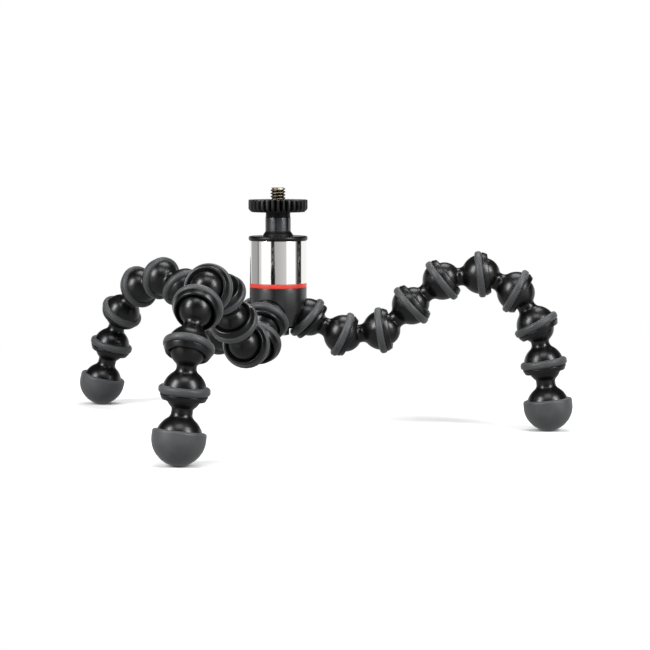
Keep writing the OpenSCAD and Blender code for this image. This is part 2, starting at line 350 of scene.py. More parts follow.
class Wiring:
    """Writes nodes into one node tree."""

    def __init__(self, tree: bpy.types.NodeTree) -> None:
        """Takes the tree that the nodes go into."""
        self.tree = tree

    @staticmethod
    def fresh(owner: bpy.types.Material | bpy.types.World) -> "Wiring":
        """Empties the node tree of a material or a world and takes it."""
        owner.use_nodes = True
        owner.node_tree.nodes.clear()
        return Wiring(owner.node_tree)

    def node(self, kind: str, **inputs: object) -> Node:
        """Adds a node and fills its inputs.

        Args:
            kind: Blender's name of the node type.
            inputs: Values or sockets by input name, with _ for a space.

        Returns:
            The new node.
        """
        node = self.tree.nodes.new(kind)
        for key, value in inputs.items():
            self.feed(node.inputs[key.replace("_", " ")], value)
        return node

    def feed(self, socket: Socket, value: object) -> None:
        """Links a socket into another, or sets its plain value."""
        if isinstance(value, Socket):
            self.tree.links.new(value, socket)
        else:
            socket.default_value = value

    def math(self, operation: str, first: object, second: object = 0.0) -> Socket:
        """Adds a math node.

        Args:
            operation: Blender's name of the operation.
            first: First value or socket.
            second: Second value or socket.

        Returns:
            The result's socket.
        """
        node = self.tree.nodes.new("ShaderNodeMath")
        node.operation = operation
        self.feed(node.inputs[0], first)
        self.feed(node.inputs[1], second)
        return node.outputs[0]

    def times(self, first: object, second: object) -> Socket:
        """Multiplies two values."""
        return self.math("MULTIPLY", first, second)

    def length(self, vector: Socket) -> Socket:
        """Measures the length of a vector."""
        node = self.tree.nodes.new("ShaderNodeVectorMath")
        node.operation = "LENGTH"
        self.feed(node.inputs[0], vector)
        return node.outputs["Value"]

    def span(
        self, value: object, low: float, high: float, to_low: float = 0.0, to_high: float = 1.0
    ) -> Socket:
        """Maps a value smoothly from one span to another.

        Args:
            value: Value or socket.
            low: Start of its span.
            high: End of its span.
            to_low: Result at the start.
            to_high: Result at the end.

        Returns:
            The result's socket.
        """
        node = self.tree.nodes.new("ShaderNodeMapRange")
        node.interpolation_type = "SMOOTHSTEP"
        for socket, number in zip(node.inputs[:5], (value, low, high, to_low, to_high)):
            self.feed(socket, number)
        return node.outputs[0]

    def noise(self, vector: object, scale: object, detail: float = 2.0) -> Socket:
        """Adds a noise texture and returns its value socket."""
        return self.node("ShaderNodeTexNoise", Vector=vector, Scale=scale, Detail=detail).outputs[0]

    def stretched(self, vector: object, scale: Triple) -> Socket:
        """Stretches coordinates by a scale along each axis."""
        return self.node("ShaderNodeMapping", Vector=vector, Scale=scale).outputs[0]

    def mix(self, factor: object, first: object, second: object) -> Socket:
        """Mixes two colours.

        Args:
            factor: Share of the second colour.
            first: Colour or socket at factor 0.
            second: Colour or socket at factor 1.

        Returns:
            The mixed colour's socket.
        """
        node = self.tree.nodes.new("ShaderNodeMix")
        node.data_type = "RGBA"
        # The node's colour sockets come after those for numbers and vectors.
        for number, value in ((0, factor), (6, first), (7, second)):
            self.feed(node.inputs[number], value)
        return node.outputs[2]

    def blend(self, factor: object, first: Node, second: Node) -> Node:
        """Blends two shaders.

        Args:
            factor: Share of the second shader.
            first: Shader node at factor 0.
            second: Shader node at factor 1.

        Returns:
            The blending node.
        """
        node = self.tree.nodes.new("ShaderNodeMixShader")
        for number, value in enumerate((factor, first.outputs[0], second.outputs[0])):
            self.feed(node.inputs[number], value)
        return node


class EffectLibrary:
    """Node groups for the effects that several finishes share, with their shares and scales."""

    FINE_SHARE = 0.6
    CELL_SHARE = 0.4
    CELL_SCALE = 0.6
    DRIFT_SCALE = 0.05
    MARK_HALF_WIDTH = 0.012
    MARK_PATCH_SCALE = 0.12
    MARK_SETS = (((1.0, 0.06, 0.3), 0.6), ((0.08, 1.0, 0.25), -0.9))
    SPECK_SHARE = 0.6
    FILM_SHARE = 0.5
    FILM_SCALE = 0.08

    @staticmethod
    def group(effect: Effect) -> bpy.types.NodeTree:
        """Finds an effect's node group, or builds it the first time."""
        made = bpy.data.node_groups.get(effect.value)
        if made:
            return made
        builders = {
            Effect.GRAIN: EffectLibrary.grain,
            Effect.MARKS: EffectLibrary.marks,
            Effect.DUST: EffectLibrary.dust,
        }
        return builders[effect]()

    @staticmethod
    def open(effect: Effect, *outputs: str) -> tuple[Wiring, Socket, Socket, Node]:
        """Starts a node group that takes coordinates and a scale.

        Args:
            effect: The effect, which gives the group its name.
            outputs: Names of the value outputs.

        Returns:
            The group's wiring, its sockets for coordinates and scale, and its output node.
        """
        tree = bpy.data.node_groups.new(effect.value, "ShaderNodeTree")
        for name, kind in (("Vector", "NodeSocketVector"), ("Scale", "NodeSocketFloat")):
            tree.interface.new_socket(name=name, in_out="INPUT", socket_type=kind)
        for name in outputs:
            tree.interface.new_socket(name=name, in_out="OUTPUT", socket_type="NodeSocketFloat")
        wires = Wiring(tree)
        given = wires.node("NodeGroupInput").outputs
        return wires, given["Vector"], given["Scale"], wires.node("NodeGroupOutput")

    @staticmethod
    def grain() -> bpy.types.NodeTree:
        """Builds the fine grain of a moulded or cast surface, with a slow drift of tone."""
        here = EffectLibrary
        wires, vector, scale, out = here.open(Effect.GRAIN, "Height", "Drift")
        fine = wires.noise(vector, scale, 3.0)
        coarse = wires.times(scale, here.CELL_SCALE)
        cells = wires.node("ShaderNodeTexVoronoi", Vector=vector, Scale=coarse).outputs[0]
        parts = wires.times(fine, here.FINE_SHARE), wires.times(cells, here.CELL_SHARE)
        slow = wires.noise(vector, wires.times(scale, here.DRIFT_SCALE), 3.0)
        wires.feed(out.inputs["Height"], wires.math("ADD", *parts))
        wires.feed(out.inputs["Drift"], wires.span(slow, 0.3, 0.7))
        return wires.tree

    @staticmethod
    def marks() -> bpy.types.NodeTree:
        """Builds thin rub marks from two crossed sets of stretched noise."""
        here = EffectLibrary
        wires, vector, scale, out = here.open(Effect.MARKS, "Mask")
        found = []
        for stretch, turn in here.MARK_SETS:
            mapped = wires.node(
                "ShaderNodeMapping", Vector=vector, Scale=stretch, Rotation=(turn, turn / 2, turn)
            )
            value = wires.noise(mapped.outputs[0], scale)
            off = wires.math("ABSOLUTE", wires.math("SUBTRACT", value, 0.5))
            found.append(wires.span(off, 0.0, here.MARK_HALF_WIDTH, 1.0, 0.0))
        patches = wires.noise(vector, wires.times(scale, here.MARK_PATCH_SCALE))
        mask = wires.times(wires.math("MAXIMUM", *found), wires.span(patches, 0.5, 0.68))
        wires.feed(out.inputs["Mask"], mask)
        return wires.tree

    @staticmethod
    def dust() -> bpy.types.NodeTree:
        """Builds sparse pale specks with a cloudy film between them."""
        here = EffectLibrary
        wires, vector, scale, out = here.open(Effect.DUST, "Mask")
        cells = wires.node("ShaderNodeTexVoronoi", Vector=vector, Scale=scale).outputs[0]
        specks = wires.times(wires.span(cells, 0.05, 0.14, 1.0, 0.0), here.SPECK_SHARE)
        film = wires.noise(vector, wires.times(scale, here.FILM_SCALE), 4.0)
        cloud = wires.span(film, 0.42, 0.75, 0.0, here.FILM_SHARE)
        wires.feed(out.inputs["Mask"], wires.math("MAXIMUM", specks, cloud))
        return wires.tree


@dataclass(frozen=True)
class Finish:
    """A surface finish, with the values that all kinds of finish have.

    The grain's scale is in features per metre and its depth in millimetres.
    """

    slot: str
    colour: Triple
    drift_colour: Triple
    roughness: float
    roughness_drift: float
    grain_scale: float
    grain_depth: float

    def material(self) -> bpy.types.Material:
        """Finds this finish's material, or builds it the first time."""
        name = f"{self.slot}_finish"
        made = bpy.data.materials.get(name)
        if made:
            return made
        material = bpy.data.materials.new(name)
        wires = Wiring.fresh(material)
        shader = wires.node("ShaderNodeBsdfPrincipled")
        output = wires.node("ShaderNodeOutputMaterial")
        wires.feed(output.inputs["Surface"], shader.outputs[0])
        place = wires.node("ShaderNodeTexCoord").outputs["Object"]
        self.dress(wires, shader, place)
        material.diffuse_color = (*self.colour, 1.0)
        return material

    def effect(self, wires: Wiring, effect: Effect, place: Socket, scale: float) -> Node:
        """Places a shared effect in a material.

        Args:
            wires: The material's wiring.
            effect: The effect.
            place: Socket with the coordinates.
            scale: Features per metre.

        Returns:
            The group's node.
        """
        node = wires.tree.nodes.new("ShaderNodeGroup")
        node.node_tree = EffectLibrary.group(effect)
        wires.feed(node.inputs["Vector"], place)
        node.inputs["Scale"].default_value = scale
        return node

    def tone(self, wires: Wiring, grain: Node) -> Socket:
        """Lets the colour drift with the grain."""
        drift = grain.outputs["Drift"]
        return wires.mix(drift, (*self.colour, 1), (*self.drift_colour, 1))

    def bump(self, wires: Wiring, shader: Node, height: Socket) -> None:
        """Feeds a height into the shader's normal, as deep as the grain."""
        node = wires.node("ShaderNodeBump", Height=height)
        node.inputs["Strength"].default_value = 0.6
        node.inputs["Distance"].default_value = self.grain_depth * MM
        wires.feed(shader.inputs["Normal"], node.outputs[0])

    def overlay(
        self, wires: Wiring, shader: Node, place: Socket, mask: Socket, colour: Triple, matt: float
    ) -> None:
        """Builds tone drift and grain with a second colour over them.

        Args:
            wires: The material's wiring.
            shader: The material's shader.
            place: Socket with the piece's own coordinates.
            mask: Socket with the share of the second colour.
            colour: The second colour.
            matt: Roughness that the second colour adds.
        """
        grain = self.effect(wires, Effect.GRAIN, place, self.grain_scale)
        over = wires.mix(mask, self.tone(wires, grain), (*colour, 1))
        wires.feed(shader.inputs["Base Color"], over)
        most = self.roughness + self.roughness_drift
        rough = wires.span(grain.outputs["Drift"], 0.0, 1.0, self.roughness, most)
        wires.feed(shader.inputs["Roughness"], wires.math("ADD", rough, wires.times(mask, matt)))
        self.bump(wires, shader, grain.outputs["Height"])

    def dress(self, wires: Wiring, shader: Node, place: Socket) -> None:
        """Builds the nodes of this kind of finish.

        Args:
            wires: The material's wiring.
            shader: The material's shader.
            place: Socket with the piece's own coordinates.
        """
        raise NotImplementedError


@dataclass(frozen=True)
class MouldedPlastic(Finish):
    """Hard moulded or painted surface with faint rub marks."""

    marks: float = 0.3
    mark_scale: float = 700.0
    mark_matt: float = 0.3
    mark_colour: Triple = (0.08, 0.08, 0.08)
    specular: float = 0.5

    def dress(self, wires: Wiring, shader: Node, place: Socket) -> None:
        """Builds tone drift, grain and rub marks."""
        shader.inputs["Specular IOR Level"].default_value = self.specular
        rubbed = self.effect(wires, Effect.MARKS, place, self.mark_scale)
        mask = wires.times(rubbed.outputs["Mask"], self.marks)
        self.overlay(wires, shader, place, mask, self.mark_colour, self.mark_matt)


@dataclass(frozen=True)
class ZonedPlastic(MouldedPlastic):
    """Stem with a dark metal middle between two black ends, by height in millimetres."""

    low: float = -13.0
    low_half: float = 0.2
    high: float = -7.3
    high_half: float = 0.05
    end_colour: Triple = (0.0022, 0.0022, 0.0024)
    end_matt: float = 0.2

    def dress(self, wires: Wiring, shader: Node, place: Socket) -> None:
        """Builds the painted surface, then makes metal of the zone between its ends."""
        super().dress(wires, shader, place)
        painted = shader.inputs["Base Color"].links[0].from_socket
        rough = shader.inputs["Roughness"].links[0].from_socket
        height = wires.node("ShaderNodeSeparateXYZ", Vector=place).outputs[2]
        low, low_half = self.low * MM, self.low_half * MM
        high, high_half = self.high * MM, self.high_half * MM
        above = wires.span(height, low - low_half, low + low_half)
        below = wires.span(height, high - high_half, high + high_half, 1.0, 0.0)
        inside = wires.times(above, below)
        wires.feed(shader.inputs["Base Color"], wires.mix(inside, (*self.end_colour, 1), painted))
        wires.feed(shader.inputs["Metallic"], inside)
        matt = wires.span(inside, 0.0, 1.0, self.end_matt, 0.0)
        wires.feed(shader.inputs["Roughness"], wires.math("ADD", rough, matt))


@dataclass(frozen=True)
class Rubber(Finish):
    """Soft matte rubber with a fine grain and a little dust."""

    dust: float = 0.2
    dust_scale: float = 900.0
    dust_matt: float = 0.2
    dust_colour: Triple = (0.2, 0.2, 0.2)
    specular: float = 0.4
    sheen: float = 0.15
    sheen_roughness: float = 0.4

    def dress(self, wires: Wiring, shader: Node, place: Socket) -> None:
        """Builds tone drift, grain, dust and a faint sheen."""
        shader.inputs["Specular IOR Level"].default_value = self.specular
        shader.inputs["Sheen Weight"].default_value = self.sheen
        shader.inputs["Sheen Roughness"].default_value = self.sheen_roughness
        dusty = self.effect(wires, Effect.DUST, place, self.dust_scale)
        mask = wires.times(dusty.outputs["Mask"], self.dust)
        self.overlay(wires, shader, place, mask, self.dust_colour, self.dust_matt)


@dataclass(frozen=True)
class PolishedMetal(Finish):
    """Bright metal with fine lines along its length and faint smudges."""

    streak: Triple = (9000.0, 9000.0, 120.0)
    smudge: float = 0.1
    smudge_scale: float = 500.0

    def dress(self, wires: Wiring, shader: Node, place: Socket) -> None:
        """Builds the fine lines, the smudges and a slow drift of tone."""
        shader.inputs["Metallic"].default_value = 1.0
        grain = self.effect(wires, Effect.GRAIN, place, self.grain_scale)
        lines = wires.noise(wires.stretched(place, self.streak), 1.0)
        dusty = self.effect(wires, Effect.DUST, place, self.smudge_scale)
        mask = wires.times(dusty.outputs["Mask"], self.smudge)
        wires.feed(shader.inputs["Base Color"], self.tone(wires, grain))
        rough = wires.span(lines, 0.3, 0.7, self.roughness, self.roughness + self.roughness_drift)
        wires.feed(shader.inputs["Roughness"], wires.math("ADD", rough, mask))
        self.bump(wires, shader, lines)


@dataclass(frozen=True)
class ThreadMetal(PolishedMetal):
    """Plated screw metal with painted shade deep in the thread, kept off the tip.

    Sizes are in millimetres.
    """

    root_r: float = 2.5
    crest_r: float = 3.175
    tip_z: float = 4.4
    tip_half: float = 0.05
    # Painted shade: the near-black colour that the thread's roots turn to.
    painted_root_shade: Triple = (0.02, 0.017, 0.013)

    def dress(self, wires: Wiring, shader: Node, place: Socket) -> None:
        """Builds the plated metal, then paints shade on it toward the screw's axis."""
        super().dress(wires, shader, place)
        plated = shader.inputs["Base Color"].links[0].from_socket
        radius = wires.length(wires.stretched(place, (1.0, 1.0, 0.0)))
        out = wires.span(radius, self.root_r * MM, self.crest_r * MM)
        height = wires.node("ShaderNodeSeparateXYZ", Vector=place).outputs[2]
        low, high = self.tip_z - self.tip_half, self.tip_z + self.tip_half
        # Painted shade: the metal darkens toward the thread's roots, but not on the tip's end face.
        bright = wires.math("MAXIMUM", out, wires.span(height, low * MM, high * MM))
        wires.feed(shader.inputs["Base Color"], wires.mix(bright, (*self.painted_root_shade, 1), plated))


class Palette:
    """The finishes of the tripod's pieces.

    After the slot come colour, drifted colour, roughness, its drift, grain scale and grain depth.
    """

    LINK = MouldedPlastic(
        "black_plastic", (0.0016, 0.0016, 0.0018), (0.0026, 0.0026, 0.0029),
        0.28, 0.04, 4200.0, 0.001, marks=0.05, specular=0.42,
    )
    HUB = MouldedPlastic(
        "hub_plastic", (0.0045, 0.0045, 0.0045), (0.006, 0.006, 0.006),
        0.26, 0.06, 5200.0, 0.008, marks=0.12, specular=0.85,
    )
    GRIP = Rubber(
        "grip_rubber", (0.041, 0.044, 0.046), (0.048, 0.051, 0.053), 0.44, 0.1, 4800.0, 0.02
    )
    BOOT = Rubber(
        "boot_rubber", (0.051, 0.055, 0.057), (0.059, 0.063, 0.065), 0.42, 0.1, 5200.0, 0.02
    )
    RED = MouldedPlastic(
        "red_plastic", (0.66, 0.044, 0.03), (0.6, 0.038, 0.025),
        0.34, 0.06, 4200.0, 0.004, marks=0.05, mark_colour=(0.8, 0.2, 0.15),
    )
    SLEEVE = PolishedMetal(
        "polished_steel", (0.95, 0.94, 0.92), (0.92, 0.91, 0.89),
        0.04, 0.015, 900.0, 0.00002, smudge=0.02,
    )
    COLLAR = MouldedPlastic(
        "collar_black", (0.0018, 0.0018, 0.002), (0.003, 0.003, 0.0033),
        0.3, 0.06, 5000.0, 0.004, specular=0.32,
    )
    STEM = ZonedPlastic(
        "stem_metal", (0.088, 0.09, 0.097), (0.1, 0.102, 0.11),
        0.22, 0.05, 6000.0, 0.003, mark_colour=(0.12, 0.12, 0.13), specular=0.18,
    )
    WHEEL = MouldedPlastic(
        "wheel_plastic", (0.003, 0.003, 0.003), (0.0055, 0.0055, 0.0055), 0.38, 0.1, 5200.0, 0.008
    )
    SCREW = ThreadMetal(
        "screw_metal", (0.45, 0.4, 0.31), (0.34, 0.295, 0.225),
        0.26, 0.14, 2600.0, 0.003, streak=(700.0, 700.0, 9000.0),
    )
    SEAT = MouldedPlastic(
        "seat_plastic", (0.72, 0.72, 0.69), (0.66, 0.66, 0.63), 0.4, 0.1, 4200.0, 0.006, marks=0.1
    )
    PAD = Rubber("pad_rubber", (0.04, 0.04, 0.04), (0.05, 0.05, 0.05), 0.7, 0.1, 4200.0, 0.03)
    STEEL = PolishedMetal(
        "steel", (0.56, 0.56, 0.57), (0.5, 0.5, 0.52), 0.28, 0.14, 1200.0, 0.003
    )


class Joints:
    """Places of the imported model's joints."""

    BY_NAME = {joint["name"]: joint for joint in frame["record"]["behaviour"]["joints"]}

    @staticmethod
    def place(name: str) -> Vector:
        """Gives the point that a joint turns about."""
        return Vector(Joints.BY_NAME[name]["pos_m"])

    @staticmethod
    def axis(name: str) -> Vector:
        """Gives the direction that a joint turns about."""
        return Vector(Joints.BY_NAME[name]["axis"]).normalized()


def seat_at(place: Vector, direction: Vector) -> Matrix:
    """Makes a frame whose +Z runs along a direction.

    Args:
        place: Origin of the frame.
        direction: Its upward direction.

    Returns:
        The frame as a matrix.
    """
    return Matrix.Translation(place) @ direction.to_track_quat("Z", "Y").to_matrix().to_4x4()


def fit(piece: Piece, finish: Finish, body: str, *nodes: str) -> None:
    """Dresses a new piece, fixes it to its body and lets it stand for its CAD nodes.

    Args:
        piece: The new piece.
        finish: Its finish.
        body: The body that it moves with.
        nodes: The CAD nodes that it stands for.
    """
    piece.data.materials.clear()
    piece.data.materials.append(finish.material())
    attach(piece, body)
    if nodes:
        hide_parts(*nodes)
    log.info("%s: %d faces, %s, on %s", piece.name, len(piece.data.polygons), finish.slot, body)


def dress_node(node: str, finish: Finish) -> None:
    """Gives a CAD node that stays in view its finish."""
    piece = frame["nodes"][node]
    piece.data.materials.clear()
    piece.data.materials.append(finish.material())
    log.info("%s: CAD shape, %s", node, finish.slot)


@dataclass
class LegSet:
    """The three legs: links, grip rings, feet and boots. Sizes are in millimetres."""

    link_pitch: float = 16.5
    ball_r: float = 6.75
    socket_r: float = 6.87
    neck_r: float = 3.75
    ball_fillet: float = 1.3
    cup_fillet: float = 2.5
    cup_r: float = 8.3
    cup_back: float = 1.0
    lip_root_r: float = 9.05
    lip_tip_r: float = 8.3
    lip_end: float = 2.4
    lip_slope: float = 20.0
    lip_edge: float = 0.5
    lip_root_edge: float = 0.25
    mouth_start: float = 1.7
    mouth_edge: float = 0.2
    ring_r: float = 9.69
    ring_w: float = 3.1
    ring_back: float = 1.4
    ring_seat_r: float = 7.6
    ring_edge: float = 1.25
    ring_clear: float = 0.05
    foot_pitch: float = 16.6
    foot_r: float = 8.9
    foot_neck_r: float = 4.0
    boot_r: float = 10.185
    boot_rim: float = 3.0
    boot_edge: float = 1.05
    boot_inner_edge: float = 0.3
    boot_clear: float = 0.03
    joint_count: int = 9
    loose_rings: int = 6
    around: int = 72

    def waist(self, outline: Outline, top: float, upper_r: float, waist_r: float) -> float:
        """Carries an outline from the ball at the origin up its waist to a larger ball.

        Args:
            outline: The outline, which is extended.
            top: Height of the larger ball's centre.
            upper_r: Radius of the larger ball.
            waist_r: Radius of the waist.

        Returns:
            The angle in degrees at which the larger ball starts.
        """
        side, reach, touch = blend_place(self.ball_r, waist_r, self.ball_fillet)
        outline.arc((0, 0), self.ball_r, -90, touch, 26)
        outline.arc((side, reach), self.ball_fillet, touch + 180, 180, 6)
        side, reach, touch = blend_place(upper_r, waist_r, self.cup_fillet)
        outline.arc((side, top - reach), self.cup_fillet, 180, 180 - touch, 6)
        return -touch

    def link_outline(self) -> Outline:
        """Draws a link: ball, waist, cup back, ring seat, lip and socket."""
        outline = Outline()
        cup_z = self.link_pitch - self.cup_back
        start = self.waist(outline, cup_z, self.cup_r, self.neck_r)
        back_end = self.link_pitch - self.ring_back - self.ring_w / 2 - self.ring_clear
        stop = math.degrees(math.asin((back_end - cup_z) / self.cup_r))
        outline.arc((0, cup_z), self.cup_r, start, stop, 14)
        lip_start = self.link_pitch - self.ring_back + self.ring_w / 2 + self.ring_clear
        outline.line((self.ring_seat_r, back_end), (self.ring_seat_r, lip_start))
        lip_top = self.link_pitch + self.lip_end
        edge = self.lip_root_edge
        centre = (self.lip_root_r - edge, lip_start + edge)
        outline.arc(centre, edge, -90, self.lip_slope, 5)
        edge = self.lip_edge
        outline.arc((self.lip_tip_r - edge, lip_top - edge), edge, self.lip_slope, 90, 5)
        mouth_r = math.sqrt(self.socket_r**2 - self.mouth_start**2)
        flare_r = mouth_r + self.lip_end - self.mouth_start
        edge = self.mouth_edge
        outline.arc((flare_r + edge, lip_top - edge), edge, 90, 170, 3)
        inner = math.degrees(math.asin(self.mouth_start / self.socket_r))
        return outline.arc((0, self.link_pitch), self.socket_r, inner, -90, 20)

    def ring_outline(self) -> Outline:
        """Draws a grip ring around a cup whose ball centre is the origin."""
        inner = self.ring_seat_r + self.ring_clear
        low = -self.ring_back - self.ring_w / 2
        high = -self.ring_back + self.ring_w / 2
        edge = self.ring_edge
        outline = Outline().line((inner, low))
        outline.arc((self.ring_r - edge, low + edge), edge, -90, 0, 8)
        outline.arc((self.ring_r - edge, high - edge), edge, 0, 90, 8)
        return outline.line((inner, high)).closed()

    def foot_outline(self) -> Outline:
        """Draws a foot: ball, waist and the round end inside the boot."""
        outline = Outline()
        start = self.waist(outline, self.foot_pitch, self.foot_r, self.foot_neck_r)
        return outline.arc((0, self.foot_pitch), self.foot_r, start, 90, 30)

    def boot_outline(self) -> Outline:
        """Draws a boot with a rolled rim."""
        inner = self.foot_r + self.boot_clear
        rim = self.foot_pitch - self.boot_rim
        edge = self.boot_inner_edge
        depth = self.boot_rim - edge
        lowest = -math.degrees(math.asin(depth / inner))
        outline = Outline().arc((0, self.foot_pitch), inner, 90, lowest, 28)
        inner_rim = math.sqrt(inner**2 - depth**2)
        outline.arc((inner_rim + edge, rim + edge), edge, 180, 270, 3)
        edge = self.boot_edge
        outline.arc((self.boot_r - edge, rim + edge), edge, -90, 0, 7)
        return outline.arc((0, self.foot_pitch), self.boot_r, 0, 90, 22)

    def centre(self, leg: LegName, joint: int) -> Vector:
        """Gives the centre of a leg's ball by its number."""
        return Joints.place(f"{leg.value}_bend_{joint}")

    def direction(self, leg: LegName, link: int) -> Vector:
        """Gives the direction that a link points in.

        Args:
            leg: The leg.
            link: Number of the link, 0 for the hub socket and the last one for the foot.

        Returns:
            The direction from its ball outward.
        """
        if link == 0:
            return Joints.axis(f"{leg.value}_turn_1")
        start = self.centre(leg, link)
        if link < self.joint_count:
            return (self.centre(leg, link + 1) - start).normalized()
        points = [Vector(v.co) for v in frame["nodes"][f"{leg.value}_foot"].data.vertices]
        return (max(points, key=lambda p: (p - start).length) - start).normalized()

    def place(self, leg: LegName, joint: int, link: int) -> Matrix:
        """Gives the frame at a joint's ball that points along a link.

        Args:
            leg: The leg.
            joint: Number of the joint.
            link: Number of the link.

        Returns:
            The frame as a matrix.
        """
        return seat_at(self.centre(leg, joint), self.direction(leg, link))

    def pattern(self, name: str, outline: Outline) -> Piece:
        """Turns and shades a shape that is copied along the legs."""
        piece = Bench.turn(name, outline, self.around)
        Bench.smooth(piece)
        return piece

    def build(self) -> None:
        """Builds every leg from one link, one ring, one foot and one boot."""
        link = self.pattern("link_pattern", self.link_outline())
        ring = self.pattern("ring_pattern", self.ring_outline())
        foot = self.pattern("foot_pattern", self.foot_outline())
        boot = self.pattern("boot_pattern", self.boot_outline())
        last = self.joint_count
        for leg in LegName:
            side = leg.value
            for j in range(1, last + 1):
                body = f"{side}_ring_{j}" if j <= self.loose_rings else f"{side}_link_{j - 1}"
                piece = Bench.copy(ring, f"{side}_grip_{j}", self.place(leg, j, j - 1))
                fit(piece, Palette.GRIP, body, body)
                if j < last:
                    body = f"{side}_link_{j}"
                    piece = Bench.copy(link, f"{side}_ball_link_{j}", self.place(leg, j, j))
                    fit(piece, Palette.LINK, body, body)
            end = self.place(leg, last, last)
            body = f"{side}_foot"
            fit(Bench.copy(foot, f"{side}_foot_ball", end), Palette.LINK, body, body)
            fit(Bench.copy(boot, f"{side}_foot_boot", end), Palette.BOOT, body, f"{side}_boot")
        for shape in (link, ring, foot, boot):
            bpy.data.objects.remove(shape)


@dataclass
class Hub:
    """The hub that the legs meet in, with its red band. Sizes are in millimetres."""

    radius: float = 11.9
    top: float = -36.5
    top_edge: float = 0.15
    wall: float = 2.0
    side: float = 8.5
    height: float = 16.0
    prong_r: float = 8.6
    hollow_r: float = 6.55
    bolt_r: float = 2.56
    scallop_r: float = 8.5
    scallop_back: float = 1.0
    ring_cut_r: float = 10.2
    ring_cut_start: float = -3.45
    arch_end: float = 20.0
    arch_around: int = 96
    arch_weld: float = 0.06
    arch_edge: float = 0.1
    band_h: float = 1.7
    band_edge: float = 0.12
    around: int = 128

    def shell_outline(self) -> Outline:
        """Draws the hub's shell before its arches are cut."""
        floor = self.top - self.height
        ceiling = self.top - self.wall
        edge = self.top_edge
        outline = Outline().line((self.bolt_r, self.top))
        outline.arc((self.radius - edge, self.top - edge), edge, 90, 0, 3)
        outline.line((self.radius, self.top - self.side), (self.prong_r, floor))
        outline.line((self.hollow_r, floor), (self.hollow_r, ceiling), (self.bolt_r, ceiling))
        return outline.closed()

    def arch_tool(self, leg: LegName) -> Piece:
        """Builds the solid that cuts one leg's arch."""
        meet = self.ring_cut_start + self.scallop_back
        stop = math.degrees(math.asin(meet / self.scallop_r))
        outline = Outline().arc((0, -self.scallop_back), self.scallop_r, -90, stop, 16)
        outline.line((self.ring_cut_r, self.ring_cut_start), (self.ring_cut_r, self.arch_end))
        outline.line((0.0, self.arch_end))
        tool = Bench.turn("arch_tool", outline, self.arch_around)
        name = f"{leg.value}_turn_1"
        Bench.move(tool, seat_at(Joints.place(name), Joints.axis(name)))
        return tool

    def band_outline(self) -> Outline:
        """Draws the red band with its edges just broken."""
        high = self.top + self.band_h
        edge = self.band_edge
        outline = Outline().line((self.bolt_r, self.top))
        outline.arc((self.radius - edge, self.top + edge), edge, -90, 0, 3)
        outline.arc((self.radius - edge, high - edge), edge, 0, 90, 3)
        return outline.line((self.bolt_r, high)).closed()

    def build(self) -> None:
        """Builds the shell and the band and dresses the pieces inside."""
        shell = Bench.turn("hub_body", self.shell_outline(), self.around)
        for leg in LegName:
            Bench.combine(shell, self.arch_tool(leg), Cut.AWAY)
        Bench.weld(shell, self.arch_weld)
        Bench.soften(shell, self.arch_edge)
        fit(shell, Palette.HUB, "base", "hub_shell")
        band = Bench.turn("hub_band", self.band_outline(), self.around)
        Bench.smooth(band)
        fit(band, Palette.RED, "base", "red_band")
        dress_node("socket_core", Palette.LINK)
        dress_node("pan_bolt", Palette.STEEL)
        dress_node("hub_nut", Palette.STEEL)


